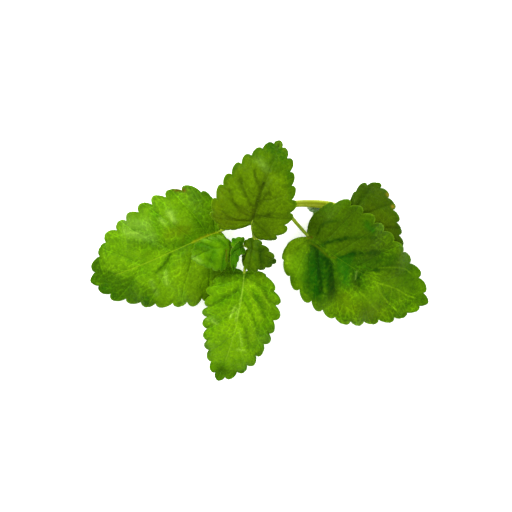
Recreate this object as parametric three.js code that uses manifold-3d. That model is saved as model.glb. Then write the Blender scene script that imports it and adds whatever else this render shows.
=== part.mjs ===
// A cut sprig of lemon balm (Melissa officinalis) lying on a flat surface.
// Millimetres, +Z up. The origin is under the middle of the sprig, on the surface it lies on.
// The stem is square in section and the heart-shaped leaves stand on it in crossed pairs.
import * as THREE from "three";
import { mergeVertices } from "three/addons/utils/BufferGeometryUtils.js";
import Module from "manifold-3d";

const wasm = await Module();
wasm.setup();

// ---- Driving dimensions ----
const BLADE_THICKNESS = 0.6;
const SEAT_GAP = 0.3; // between a stalk's foot and the stem that carries it
const SINUS_HALF_WIDTH = 0.4; // half the inlet between the two lobes, at the stalk
const TOOTH_ROUNDNESS = 0.55; // 1 gives plain arches and 0 square ones
const TOOTH_APEX = 0.6; // where a tooth is highest, from the notch behind it to the one before it
const TOOTH_LEAN = 0.3; // towards the tip, against the tooth's height
const MIDRIB_END = 0.94; // share of the blade's length where the last side vein leaves the midrib
const VEIN_SWEEP = 3.0; // how strongly the side veins crowd towards the blade's base
const VEIN_SPREAD = 0.12; // share of that place that is even, so that no two veins start as one
const VEIN_BEND = 0.65; // side veins leave the midrib steeply and bend to the tip; 1 is straight
const PUFF_ROUNDNESS = 0.7;
const WAVE_RATE = 0.4; // radians of the margin's wave for each millimetre of midrib
const WAVE_REACH = 14; // distance from the midrib where the wave is at its full height
const FOLD_ROUNDING = 1.2; // half width of the rounded valley over the midrib
const RESTING_BEND = 0.3; // how gently a blade bends where it meets the surface
const RESTING_SNAP = 0.2; // what comes this near the surface lies flat on it
const SLIVER = 0.02; // edges shorter than this are taken out
const STALK_SIDES = 6;
const STEM_STEPS = 24;
const CELL_SHARE = 0.25; // height of the small net against the puffs between the side veins
const CELLS_ACROSS = 3; // cells between midrib and margin

const up = new THREE.Vector3(0, 0, 1);
const vec = (p) => new THREE.Vector3(...p);
const mix = THREE.MathUtils.lerp;
const smooth = (x, low, high) => THREE.MathUtils.smoothstep(x, low, high);

// ---- Closed meshes and booleans ----
function closedGeometry(vertices, triangles) {
  const flat = new Float32Array(vertices.flatMap((v) => [v.x, v.y, v.z]));
  const geometry = new THREE.BufferGeometry();
  geometry.setAttribute("position", new THREE.BufferAttribute(flat, 3));
  geometry.setIndex(triangles.flat());
  return mergeVertices(geometry, 1e-4);
}

function solidOf(geometry) {
  const index = new Uint32Array(geometry.index.array);
  const triVerts = [];
  for (let i = 0; i < index.length; i += 3) {
    const [a, b, c] = [index[i], index[i + 1], index[i + 2]];
    if (a !== b && b !== c && c !== a) triVerts.push(a, b, c);
  }
  return new wasm.Manifold(
    new wasm.Mesh({
      numProp: 3,
      vertProperties: new Float32Array(geometry.attributes.position.array),
      triVerts: new Uint32Array(triVerts),
    }),
  );
}

function geometryOf(solid) {
  const mesh = solid.getMesh();
  const geometry = new THREE.BufferGeometry();
  geometry.setAttribute(
    "position",
    new THREE.BufferAttribute(new Float32Array(mesh.vertProperties), 3),
  );
  geometry.setIndex(new THREE.BufferAttribute(new Uint32Array(mesh.triVerts), 1));
  return geometry;
}

// A closed tube through the given points: section(share, centre) gives the outline of each ring.
function loft(points, section, steps) {
  const curve = new THREE.CatmullRomCurve3(points, false, "centripetal");
  const rings = [];
  let normal = up.clone();
  for (let i = 0; i <= steps; i++) {
    const share = i / steps;
    const centre = curve.getPointAt(share);
    const along = curve.getTangentAt(share);
    normal = normal.sub(along.clone().multiplyScalar(normal.dot(along))).normalize();
    const side = new THREE.Vector3().crossVectors(normal, along);
    rings.push(
      section(share, centre).map(([x, y]) =>
        centre.clone().addScaledVector(side, x).addScaledVector(normal, y),
      ),
    );
  }
  const count = rings[0].length;
  const triangles = [];
  const at = (i, k) => i * count + (k % count);
  for (let i = 0; i < steps; i++)
    for (let k = 0; k < count; k++) {
      triangles.push([at(i, k), at(i + 1, k + 1), at(i, k + 1)]);
      triangles.push([at(i, k), at(i + 1, k), at(i + 1, k + 1)]);
    }
  for (let k = 1; k < count - 1; k++) {
    triangles.push([at(0, 0), at(0, k), at(0, k + 1)]);
    triangles.push([at(steps, 0), at(steps, k + 1), at(steps, k)]);
  }
  return { vertices: rings.flat(), triangles };
}

function outward({ vertices, triangles }) {
  const solid = solidOf(closedGeometry(vertices, triangles));
  if (solid.volume() > 0) return solid;
  return solidOf(closedGeometry(vertices, triangles.map(([a, b, c]) => [a, c, b])));
}

const roundSection = (radius) =>
  Array.from({ length: STALK_SIDES }, (_, k) => {
    const angle = (2 * Math.PI * (k + 0.5)) / STALK_SIDES;
    return [radius * Math.cos(angle), radius * Math.sin(angle)];
  });

// ---- Leaf blade ----
// One side of the blade's outline in its own plane: u runs along the midrib, v away from it.
function sideOutline(length, { lobe, width, widest, full = 0.45, blunt = full, sinus = 0.2 }) {
  const path = new THREE.Path();
  const rest = length - widest;
  path.moveTo(0, SINUS_HALF_WIDTH);
  path.bezierCurveTo(-1.7 * lobe, sinus * width, -lobe, width, widest, width);
  path.bezierCurveTo(widest + full * rest, width, length - 0.12 * rest, blunt * width, length, 0);
  return path;
}

// Counts teeth back from the tip: whole numbers are notches, halves are the teeth's middles.
const toothPhase = (share, side) => side.teeth * (share - 1) + 0.5;

// The share of the outline at its i-th step. Both sides have as many steps, and the one with
// fewer teeth spends the rest of them on its start.
function outlineShare(i, steps, side, samples) {
  const start = steps - samples * (side.teeth - 1);
  return (i < start ? i / start : 1 + (i - start) / samples) / side.teeth;
}

// The margin at a share of the outline, with its rounded teeth leaning to the tip. The inlet
// beside the stalk has no teeth, and the two sides share one tooth at the tip.
function marginPoint(path, share, side, tipTooth) {
  const at = path.getPointAt(share);
  const along = path.getTangentAt(share);
  const toTip = smooth(share, 0.93, 1);
  const out = new THREE.Vector2(-along.y, along.x)
    .lerp(new THREE.Vector2(1, 0), toTip)
    .normalize();
  const phase = toothPhase(share, side);
  const skew = Math.log(0.5) / Math.log(mix(TOOTH_APEX, 0.5, toTip));
  const arch = Math.abs(Math.sin(Math.PI * (phase - Math.floor(phase)) ** skew));
  const tooth = mix(side.tooth, tipTooth, toTip) * smooth(share, 0.05, 0.3);
  const height = tooth * arch ** TOOTH_ROUNDNESS;
  const lean = TOOTH_LEAN * height * (1 - toTip);
  const edge = at.addScaledVector(out, height).addScaledVector(along, lean);
  if (share === 1) edge.y = 0;
  return edge;
}

// Frame of the blade along its midrib, carried on straight past both ends.
function midribFrame(leaf, u) {
  const share = THREE.MathUtils.clamp(u / leaf.length, 0, 1);
  const centre = leaf.curve.getPointAt(share);
  const along = leaf.curve.getTangentAt(share);
  centre.addScaledVector(along, u - share * leaf.length);
  const side = new THREE.Vector3().crossVectors(up, along).normalize();
  const normal = new THREE.Vector3().crossVectors(along, side).normalize();
  return { centre, side, normal, share };
}

// The blade without its quilting: folded up along the midrib, drooping and waved outwards.
function sheetPoint(leaf, u, v) {
  const { centre, side, normal, share } = midribFrame(leaf, u);
  const fold = mix(leaf.fold[0], leaf.fold[1], share);
  const droop = mix(leaf.droop[0], leaf.droop[1], share);
  const valley = Math.hypot(v, FOLD_ROUNDING) - FOLD_ROUNDING;
  const swing = Math.sin(u * WAVE_RATE + (v > 0 ? 0 : 2));
  const wave = leaf.wave * swing * smooth(Math.abs(v), 0, WAVE_REACH);
  return centre
    .addScaledVector(side, v)
    .addScaledVector(normal, fold * valley - droop * v * v + wave);
}

function sheetNormal(leaf, u, v) {
  const step = 0.2;
  const du = sheetPoint(leaf, u + step, v).sub(sheetPoint(leaf, u - step, v));
  const dv = sheetPoint(leaf, u, v + step).sub(sheetPoint(leaf, u, v - step));
  return new THREE.Vector3().crossVectors(du, dv).normalize();
}

// A sheet that would sink below the surface is bent to lie along it, without a crease.
function restingHeight(z) {
  const above = (z - BLADE_THICKNESS / 2) / RESTING_BEND;
  if (above > 20) return z;
  return BLADE_THICKNESS / 2 + RESTING_BEND * Math.log1p(Math.exp(above));
}

// The leaf puffs up between its side veins, which end in every second tooth, and the smaller
// veins that cross from one to the next part each puff into cells.
function quilting(leaf, side, share, t) {
  const phase = toothPhase(share, side);
  const puff = Math.abs(Math.sin((Math.PI * (phase - 0.5)) / 2)) ** PUFF_ROUNDNESS;
  const cells = CELL_SHARE * Math.cos(Math.PI * (phase + CELLS_ACROSS * t));
  return leaf.quilt * (puff - 0.5 + cells) * smooth(t, 0, 0.3) * (1 - 0.5 * t);
}

// The upper and lower point of the blade at level t, 0 midrib to 1 margin, of the line that
// leaves the midrib at one share of its length and meets the margin at another.
function bladePair(leaf, side, sign, edge, rootShare, share, t) {
  const half = BLADE_THICKNESS / 2;
  const root = MIDRIB_END * leaf.length * mix(rootShare ** VEIN_SWEEP, rootShare, VEIN_SPREAD);
  const u = root + (edge.x - root) * t * mix(VEIN_BEND, 1, t);
  const v = sign * edge.y * t;
  const normal = sheetNormal(leaf, u, v);
  const middle = sheetPoint(leaf, u, v);
  middle.z = restingHeight(middle.z);
  const lies = middle.z < half + RESTING_SNAP;
  middle.addScaledVector(normal, quilting(leaf, side, share, t));
  const keel = t === 0 ? leaf.keel * (1 - 0.8 * rootShare) : 0;
  const bottom = middle.clone().addScaledVector(normal, -half - keel);
  if (lies || bottom.z < 0) bottom.z = 0;
  const top = middle.addScaledVector(normal, half);
  top.z = Math.max(top.z, BLADE_THICKNESS);
  return [top, bottom];
}

// Both faces are split along the same diagonals, so that they can't cross.
function sideTriangles(steps, row, start) {
  const top = (i, j) => start + 2 * (i * row + j);
  const bottom = (i, j) => top(i, j) + 1;
  const triangles = [];
  const quad = (a, b, c, d) => triangles.push([a, b, c], [a, c, d]);
  for (let i = 0; i < steps; i++) {
    for (let j = 0; j < row - 1; j++) {
      quad(top(i, j), top(i + 1, j), top(i + 1, j + 1), top(i, j + 1));
      triangles.push([bottom(i, j), bottom(i + 1, j + 1), bottom(i + 1, j)]);
      triangles.push([bottom(i, j), bottom(i, j + 1), bottom(i + 1, j + 1)]);
    }
    const edge = row - 1;
    quad(top(i, edge), top(i + 1, edge), bottom(i + 1, edge), bottom(i, edge));
  }
  for (let j = 0; j < row - 1; j++) quad(top(0, j), top(0, j + 1), bottom(0, j + 1), bottom(0, j));
  return triangles;
}

function bladeSolid(leaf) {
  const steps = leaf.samples * Math.max(leaf.left.teeth, leaf.right.teeth);
  const vertices = [];
  const triangles = [];
  for (const sign of [1, -1]) {
    const side = sign > 0 ? leaf.left : leaf.right;
    const path = sideOutline(leaf.length, side);
    const half = sideTriangles(steps, leaf.levels.length, vertices.length);
    triangles.push(...(sign > 0 ? half : half.map(([a, b, c]) => [a, c, b])));
    for (let i = 0; i <= steps; i++) {
      const share = outlineShare(i, steps, side, leaf.samples);
      const edge = marginPoint(path, share, side, leaf.left.tooth);
      for (const t of leaf.levels)
        vertices.push(...bladePair(leaf, side, sign, edge, i / steps, share, t));
    }
  }
  return outward({ vertices, triangles });
}

// The stalk runs from the stem to the blade and ends under it, inside the midrib's keel.
function stalkSolid(leaf) {
  const reach = [0.02, 0.07].map((share) => {
    const u = share * leaf.length;
    return sheetPoint(leaf, u, 0).addScaledVector(sheetNormal(leaf, u, 0), -0.35);
  });
  const points = [...leaf.stalk.map(vec), ...reach];
  const [foot, end] = leaf.stalkRadius;
  const section = (share) => roundSection(mix(foot, end, share));
  return outward(loft(points, section, leaf.stalkSteps));
}

const LEAF_DEFAULTS = {
  wave: 0,
  levels: [0, 0.08, 0.36, 0.7, 1], // shares of the way from midrib to margin
  samples: 4, // outline points on each tooth of the edge
  keel: 0.7,
  stalkRadius: [0.8, 0.6],
  stalkSteps: 8,
};

function makeLeaf(spec) {
  const curve = new THREE.CubicBezierCurve3(...spec.midrib.map(vec));
  const leaf = { ...LEAF_DEFAULTS, ...spec, curve };
  leaf.length = curve.getLength();
  return leaf;
}

// ---- Sprig ----
// From the cut end, under the right leaf, up to the growing tip.
const STEM_POINTS = [
  [50.0, -8.0, 1.4],
  [45.0, 0.5, 1.4],
  [37.5, 11.0, 2.4],
  [30.0, 18.9, 4.6],
  [22.0, 20.9, 7.0],
  [8.6, 20.0, 10.0],
  [2.6, 15.2, 14.0],
  [-1.4, 8.2, 19.5],
  [-4.9, 5.6, 24.0],
].map(vec);
const STEM_HALF_SIDES = [1.5, 1.5, 1.5, 1.5, 1.4, 1.15, 0.95, 0.85, 0.6];
const STEM_NODES = [STEM_POINTS[3], STEM_POINTS[5], STEM_POINTS[7]];
const NODE_SWELLING = 0.3;
const NODE_REACH = 1.6;
// A quarter of the square section, from the groove down a side's middle to the next corner.
const STEM_QUARTER = [
  [0.84, 0],
  [1, 0.6],
  [0.88, 0.88],
  [0.6, 1],
];
const QUARTER_TURNS = [
  [1, 0],
  [0, 1],
  [-1, 0],
  [0, -1],
];

function stemHalfSide(share, centre) {
  const place = share * (STEM_HALF_SIDES.length - 1);
  const k = Math.min(Math.floor(place), STEM_HALF_SIDES.length - 2);
  const swelling = STEM_NODES.reduce(
    (sum, node) => sum + NODE_SWELLING * Math.exp(-((node.distanceTo(centre) / NODE_REACH) ** 2)),
    0,
  );
  return mix(STEM_HALF_SIDES[k], STEM_HALF_SIDES[k + 1], place - k) + swelling;
}

// The stem, grown by room on every side and never lower than the surface it lies on.
function stemSolid(room) {
  const section = (share, centre) => {
    const half = stemHalfSide(share, centre) + room;
    return QUARTER_TURNS.flatMap(([c, s]) =>
      STEM_QUARTER.map(([x, y]) => [half * (c * x - s * y), half * (s * x + c * y)]),
    );
  };
  const tube = loft(STEM_POINTS, section, STEM_STEPS);
  for (const vertex of tube.vertices) if (vertex.z < RESTING_SNAP - room) vertex.z = -room;
  return outward(tube);
}

const LEAVES = [
  {
    name: "leaf_left",
    color: 0x6aa81a,
    midrib: [
      [-14.0, 11.0, 13],
      [-27, 6.2, 20],
      [-46, -4.2, 9],
      [-61.2, -7.3, -3.5],
    ],
    left: { lobe: 1.5, width: 20.2, widest: 13, full: 0.4, blunt: 0.37, teeth: 13, tooth: 2 },
    right: { lobe: 2, width: 19, widest: 9, full: 0.67, teeth: 12, tooth: 2.4 },
    quilt: 1.0,
    wave: 0.7,
    fold: [0.35, 0.1],
    droop: [0.022, 0.02],
    stalk: [
      [7.4, 20.2, 10.6],
      [0, 17, 12],
      [-8, 13.6, 12.6],
    ],
  },
  {
    name: "leaf_right",
    color: 0x4f8a0e,
    midrib: [
      [17.6, 9.2, 16],
      [30, -1.0, 20],
      [46, -10, 9],
      [61.2, -14.9, -3.2],
    ],
    left: { lobe: 3.4, width: 18.2, widest: 9, full: 0.6, blunt: 0.55, teeth: 12, tooth: 2.1 },
    right: {
      lobe: 4.4,
      sinus: 0.3,
      width: 18.9,
      widest: 25,
      full: 0.25,
      blunt: 0.35,
      teeth: 14,
      tooth: 1.7,
    },
    quilt: 1.0,
    wave: 0.8,
    fold: [0.3, 0.05],
    droop: [0.016, 0.02],
    stalk: [
      [8.8, 20.0, 10.4],
      [11.8, 16.0, 12.6],
      [14.8, 12.4, 14.6],
    ],
    stalkRadius: [0.75, 0.55],
  },
  {
    name: "leaf_upper",
    color: 0x5f920c,
    midrib: [
      [-2.6, 12.9, 27],
      [-0.5, 21, 33.5],
      [4, 33, 36],
      [7.4, 42.6, 24],
    ],
    left: {
      lobe: 4.4,
      sinus: 0.55,
      width: 14.8,
      widest: 4,
      full: 0.37,
      blunt: 0.32,
      teeth: 11,
      tooth: 1.7,
    },
    right: {
      lobe: 5,
      sinus: 0.03,
      width: 11.8,
      widest: 8.5,
      full: 0.4,
      blunt: 0.2,
      teeth: 10,
      tooth: 1.8,
    },
    quilt: 0.9,
    wave: 0.6,
    fold: [0.3, 0.05],
    droop: [0.022, 0.02],
    stalk: [
      [-1.6, 8.0, 20],
      [-2.0, 10.0, 22.2],
    ],
    stalkRadius: [0.7, 0.6],
    stalkSteps: 5,
  },
  {
    name: "leaf_lower",
    color: 0x6cab14,
    midrib: [
      [-5.4, -3.9, 20],
      [-5.6, -15, 23],
      [-9.5, -31, 10],
      [-15.0, -43.2, -3.2],
    ],
    left: { lobe: 1, width: 12.7, widest: 15, full: 0.5, blunt: 0.46, teeth: 11, tooth: 1.9 },
    right: { lobe: 1.6, width: 11.5, widest: 14, teeth: 11, tooth: 1.9 },
    quilt: 0.9,
    wave: 0.6,
    fold: [0.35, 0.1],
    droop: [0.03, 0.025],
    stalk: [
      [-2.6, 6.6, 20.6],
      [-3.7, 2.4, 20.6],
      [-4.9, -1.6, 20.2],
    ],
    stalkRadius: [0.7, 0.45],
    stalkSteps: 6,
  },
  {
    name: "leaf_back",
    color: 0x4a7408,
    midrib: [
      [33.4, 19.0, 6.0],
      [39, 16, 8.2],
      [46, 9, 6.4],
      [51.8, 2.8, 2],
    ],
    left: { lobe: 2, width: 12.9, widest: 4, full: 0.28, blunt: 0.2, teeth: 9, tooth: 1.6 },
    right: { lobe: 1, width: 8.4, widest: 5, full: 0.4, teeth: 8, tooth: 1.5 },
    quilt: 0.8,
    fold: [0.15, 0.0],
    droop: [0.05, 0.03],
    stalk: [[30.6, 18.8, 5.4]],
    stalkRadius: [0.75, 0.7],
    stalkSteps: 4,
  },
  {
    name: "leaf_under",
    color: 0x4a7c10,
    midrib: [
      [29.4, 15.4, 2.4],
      [27, 8, 4.0],
      [23, -2, 0.5],
      [20.0, -9.0, -1.0],
    ],
    left: { lobe: 1, width: 7.2, widest: 8, full: 0.42, teeth: 8, tooth: 1.2 },
    right: { lobe: 1, width: 8.5, widest: 8, full: 0.42, teeth: 8, tooth: 1.2 },
    quilt: 0.6,
    fold: [0.2, 0.05],
    droop: [0.03, 0.03],
    levels: [0, 0.1, 0.5, 1],
    samples: 3,
    stalk: [[30.8, 18.6, 3.8]],
    stalkRadius: [0.7, 0.6],
    stalkSteps: 4,
  },
  {
    name: "young_leaf_left",
    color: 0x74b61c,
    midrib: [
      [-10.0, 4.7, 25.8],
      [-14, 5.3, 28.6],
      [-19, 3.6, 27.4],
      [-23.8, 1.2, 22.5],
    ],
    left: { lobe: 0.8, width: 7.4, widest: 4.5, teeth: 7, tooth: 0.9 },
    right: { lobe: 0.1, width: 4.0, widest: 9, teeth: 7, tooth: 0.9 },
    quilt: 0.6,
    fold: [0.2, 0.05],
    droop: [0.05, 0.03],
    levels: [0, 0.4, 1],
    stalk: [
      [-5.4, 5.5, 23.6],
      [-7.8, 5.0, 24.9],
    ],
    keel: 0.4,
    stalkRadius: [0.5, 0.4],
    stalkSteps: 5,
  },
  {
    name: "young_leaf_right",
    color: 0x4a7f10,
    midrib: [
      [-3.9, 4.6, 26.2],
      [-1.4, 4.0, 30],
      [2.6, 1.8, 29],
      [5.8, -0.2, 25.4],
    ],
    left: { lobe: 3, width: 3.4, widest: 1.5, full: 0.3, teeth: 6, tooth: 0.9 },
    right: { lobe: 2.2, sinus: 0.3, width: 6.9, widest: 3.5, full: 0.42, teeth: 8, tooth: 1 },
    quilt: 0.5,
    fold: [0.2, 0.05],
    droop: [0.04, 0.04],
    levels: [0, 0.4, 1],
    stalk: [[-4.6, 5.3, 23.9]],
    keel: 0.4,
    stalkRadius: [0.5, 0.4],
    stalkSteps: 4,
  },
];

// Tiny leaves on one stalk of their own: the bud at the tip and the shoot beside the stem.
const tinySides = (width, widest, teeth) => {
  const side = { lobe: 0.3, width, widest, teeth, tooth: 0.35 };
  return { left: side, right: side };
};
const TINY_LEAF = {
  quilt: 0.3,
  fold: [0.6, 0.3],
  droop: [0.02, 0.02],
  levels: [0, 0.5, 1],
  samples: 2,
  keel: 0.2,
  stalkRadius: [0.45, 0.4],
  stalkSteps: 2,
};

const SHOOTS = [
  {
    name: "bud",
    color: 0xc8d84a,
    leaves: [
      {
        ...TINY_LEAF,
        ...tinySides(1.0, 3, 5),
        midrib: [
          [-6.2, 5.4, 25.6],
          [-8.4, 5.6, 28],
          [-9.0, 1.0, 28],
          [-9.1, -3.6, 26.4],
        ],
        stalk: [[-5.4, 5.5, 24.7]],
      },
      {
        ...TINY_LEAF,
        ...tinySides(1.5, 1.5, 3),
        midrib: [
          [-6.0, 5.9, 25.2],
          [-7.2, 6.3, 26.6],
          [-8.6, 6.9, 27.6],
          [-9.4, 8.0, 27.4],
        ],
        stalk: [[-5.7, 6.0, 24.8]],
      },
      {
        ...TINY_LEAF,
        ...tinySides(1.6, 1.5, 3),
        midrib: [
          [-5.9, 5.0, 25.4],
          [-6.8, 4.6, 26.6],
          [-7.9, 4.1, 27.4],
          [-9.0, 3.6, 27.2],
        ],
        stalk: [[-5.5, 5.5, 24.8]],
      },
    ],
  },
  {
    name: "side_shoot",
    color: 0xbccf8e,
    leaves: [
      {
        ...TINY_LEAF,
        ...tinySides(1.9, 3, 5),
        midrib: [
          [25.4, 18.3, 4.6],
          [23.4, 18.8, 5.4],
          [20.6, 19.4, 5.2],
          [18.0, 19.6, 4.0],
        ],
        stalk: [
          [29.4, 17.6, 3.8],
          [27.6, 17.8, 4.2],
        ],
        stalkSteps: 4,
      },
      {
        ...TINY_LEAF,
        ...tinySides(1.6, 2.4, 4),
        midrib: [
          [25.6, 17.8, 4.4],
          [24.0, 17.2, 4.8],
          [22.0, 17.0, 4.0],
          [20.2, 17.2, 2.8],
        ],
        stalk: [[27.4, 17.8, 4.1]],
      },
    ],
  },
];

function meshOf(name, color, solid) {
  const material = new THREE.MeshStandardMaterial({ color, roughness: 0.5, metalness: 0 });
  const mesh = new THREE.Mesh(geometryOf(solid), material);
  mesh.name = name;
  return mesh;
}

// The outer skin alone, without the slivers that can stay closed in where tiny leaves meet and
// the ones that a cut leaves along its edges.
const outerSkin = (solid) =>
  solid
    .decompose()
    .reduce((most, body) => (body.volume() > most.volume() ? body : most))
    .asOriginal()
    .simplify(SLIVER);

function leafSolid(spec) {
  const leaf = makeLeaf(spec);
  return bladeSolid(leaf).add(stalkSolid(leaf));
}

const sprig = new THREE.Group();
const stemRoom = stemSolid(SEAT_GAP);
sprig.add(meshOf("stem", 0xa9bf35, stemSolid(0)));
for (const spec of LEAVES)
  sprig.add(meshOf(spec.name, spec.color, outerSkin(leafSolid(spec).subtract(stemRoom))));
for (const shoot of SHOOTS) {
  const solid = shoot.leaves.map(leafSolid).reduce((sum, leaf) => sum.add(leaf));
  sprig.add(meshOf(shoot.name, shoot.color, outerSkin(solid.subtract(stemRoom))));
}

export default sprig;
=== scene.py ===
"""Looks for the cut sprig of lemon balm that lies on a surface. Blender 4.5.

Shapes are worked out in millimetres, as in the part's source, and scaled to metres when a mesh is made.
"""

import math

import bpy
import numpy as np
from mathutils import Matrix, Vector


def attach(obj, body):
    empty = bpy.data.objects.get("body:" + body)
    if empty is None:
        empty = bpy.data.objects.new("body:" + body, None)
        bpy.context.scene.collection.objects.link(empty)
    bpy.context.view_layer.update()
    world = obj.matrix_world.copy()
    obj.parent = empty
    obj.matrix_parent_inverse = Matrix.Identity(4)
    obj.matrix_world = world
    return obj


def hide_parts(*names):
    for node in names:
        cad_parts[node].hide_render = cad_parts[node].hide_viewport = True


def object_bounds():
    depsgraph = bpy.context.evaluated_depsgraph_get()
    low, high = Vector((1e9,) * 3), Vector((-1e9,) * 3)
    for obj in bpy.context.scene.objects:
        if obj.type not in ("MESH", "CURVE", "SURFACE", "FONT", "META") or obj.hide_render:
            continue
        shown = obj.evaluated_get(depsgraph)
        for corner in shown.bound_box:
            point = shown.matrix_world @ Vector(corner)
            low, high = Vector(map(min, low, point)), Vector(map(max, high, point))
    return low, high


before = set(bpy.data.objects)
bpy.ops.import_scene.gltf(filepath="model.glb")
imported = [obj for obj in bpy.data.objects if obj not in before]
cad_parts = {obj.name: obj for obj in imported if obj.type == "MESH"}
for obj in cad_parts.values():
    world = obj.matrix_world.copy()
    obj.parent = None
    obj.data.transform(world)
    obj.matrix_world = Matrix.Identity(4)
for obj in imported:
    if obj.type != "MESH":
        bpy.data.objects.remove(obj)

cad_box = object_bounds()

MM = 0.001
UP = np.array([0.0, 0.0, 1.0])


# ---- small helpers
CELL_TILE, BLOTCH_TILE = 97, 61  # how many go by before the noise repeats
CELL_MIDDLES = (0.08, 0.92)  # where in its square a cell may have its middle
BLOTCH_SHIFT = 300  # moves all blotches, as another seed would


def mix(a, b, share):
    return a + (b - a) * share


def smooth(x, low, high):
    s = np.clip((x - low) / (high - low), 0, 1)
    return s * s * (3 - 2 * s)


def bell(x, width):
    """1 where x is 0, fading out over the width to both sides."""
    return np.exp(-((x / width) ** 2))


def unit(v):
    return v / np.linalg.norm(v, axis=-1, keepdims=True)


def linear(red, green, blue):
    """An sRGB colour of 0 to 255 as a linear one."""
    levels = np.array([red, green, blue]) / 255
    return np.where(levels <= 0.04045, levels / 12.92, ((levels + 0.055) / 1.055) ** 2.4)


def rgba(*colour):
    return (*linear(*colour), 1.0)


class Curve:
    """A line of many points that is walked by its length, from share 0 to share 1."""

    def __init__(self, points):
        self.points = np.asarray(points)
        steps = np.linalg.norm(np.diff(self.points, axis=0), axis=1)
        walked = np.concatenate([[0], np.cumsum(steps)])
        self.length = walked[-1]
        self.shares = walked / self.length
        self.tangents = unit(np.gradient(self.points, self.shares, axis=0))

    def _read(self, values, share):
        return np.stack([np.interp(share, self.shares, column) for column in values.T], axis=-1)

    def at(self, share):
        return self._read(self.points, share)

    def along(self, share):
        return unit(self._read(self.tangents, share))


def bezier(p0, p1, p2, p3, count=600):
    t = np.linspace(0, 1, count)[:, None]
    p0, p1, p2, p3 = (np.asarray(p, float) for p in (p0, p1, p2, p3))
    return (1 - t) ** 3 * p0 + 3 * t * (1 - t) ** 2 * p1 + 3 * t * t * (1 - t) * p2 + t**3 * p3


def through(points, count=40):
    """A centripetal Catmull-Rom line through the points, as the part's source draws its tubes."""
    p = [np.asarray(point, float) for point in points]
    p = [2 * p[0] - p[1], *p, 2 * p[-1] - p[-2]]
    line = []
    for k in range(1, len(p) - 2):
        before, here, after = (
            max(np.linalg.norm(p[k + j] - p[k + j - 1]), 1e-6) ** 0.5 for j in range(3)
        )
        slope1 = (p[k] - p[k - 1]) / before - (p[k + 1] - p[k - 1]) / (before + here)
        slope1 = (slope1 + (p[k + 1] - p[k]) / here) * here
        slope2 = (p[k + 1] - p[k]) / here - (p[k + 2] - p[k]) / (here + after)
        slope2 = (slope2 + (p[k + 2] - p[k + 1]) / after) * here
        t = np.linspace(0, 1, count, endpoint=k == len(p) - 3)[:, None]
        a = 2 * p[k] - 2 * p[k + 1] + slope1 + slope2
        b = -3 * p[k] + 3 * p[k + 1] - 2 * slope1 - slope2
        line.append(a * t**3 + b * t**2 + slope1 * t + p[k])
    return np.concatenate(line)


def cells(x, y, pitch, seed):
    """Distance in mm from the border of random cells."""
    middles = np.random.default_rng(seed).uniform(*CELL_MIDDLES, (CELL_TILE, CELL_TILE, 2))
    gx, gy = x / pitch, y / pitch
    ix, iy = np.floor(gx).astype(int), np.floor(gy).astype(int)
    near = second = np.full(x.shape, np.inf)
    for dx in (-1, 0, 1):
        for dy in (-1, 0, 1):
            middle = middles[(ix + dx) % CELL_TILE, (iy + dy) % CELL_TILE]
            gap = np.hypot(ix + dx + middle[..., 0] - gx, iy + dy + middle[..., 1] - gy)
            second = np.where(gap < near, near, np.minimum(second, gap))
            near = np.minimum(near, gap)
    return (second - near) * pitch / 2


def blotches(x, y, pitch, seed):
    """Soft noise from -1 to 1."""
    lattice = np.random.default_rng(seed).uniform(-1, 1, (BLOTCH_TILE, BLOTCH_TILE))
    gx, gy = x / pitch + BLOTCH_SHIFT, y / pitch + BLOTCH_SHIFT
    ix, iy = np.floor(gx).astype(int), np.floor(gy).astype(int)
    fx, fy = smooth(gx - ix, 0, 1), smooth(gy - iy, 0, 1)

    def corner(a, b):
        return lattice[(ix + a) % BLOTCH_TILE, (iy + b) % BLOTCH_TILE]

    return mix(mix(corner(0, 0), corner(1, 0), fx), mix(corner(0, 1), corner(1, 1), fx), fy)


def noisy(level, x, y, seed, noises):
    """The level with blotches on it. Each noise is a strength, a pitch in mm and a step of the seed."""
    for strength, pitch, step in noises:
        level = level + strength * blotches(x, y, pitch, seed + step)
    return level


# ---- camera, light and floor
VIEW_CENTRE = (-1.1, 1.85)  # where the picture's middle falls on the surface, in mm
VIEW_WIDTH = 189.4  # mm of the surface across the picture
LENS, SENSOR = 150.0, 36.0
FLOOR_SIZE, FLOOR_DEPTH = 4, 0.0001  # metres; it lies a hair under the sprig


def make_camera():
    data = bpy.data.cameras.new("camera")
    data.lens, data.sensor_width = LENS, SENSOR
    data.clip_start, data.clip_end = 0.01, 10
    camera = bpy.data.objects.new("camera", data)
    height = VIEW_WIDTH / SENSOR * LENS
    camera.location = (VIEW_CENTRE[0] * MM, VIEW_CENTRE[1] * MM, height * MM)
    bpy.context.scene.collection.objects.link(camera)
    bpy.context.scene.camera = camera


def make_light(name, place, size, power):
    """A round lamp at a place in metres, turned to the sprig."""
    data = bpy.data.lights.new(name, "AREA")
    data.shape, data.size, data.energy = "DISK", size, power
    light = bpy.data.objects.new(name, data)
    light.location = place
    towards = -np.array(place)
    yaw = math.atan2(towards[1], towards[0])
    tilt = math.acos(-towards[2] / np.linalg.norm(towards))
    light.rotation_euler = (0, -tilt, yaw)
    bpy.context.scene.collection.objects.link(light)


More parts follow.
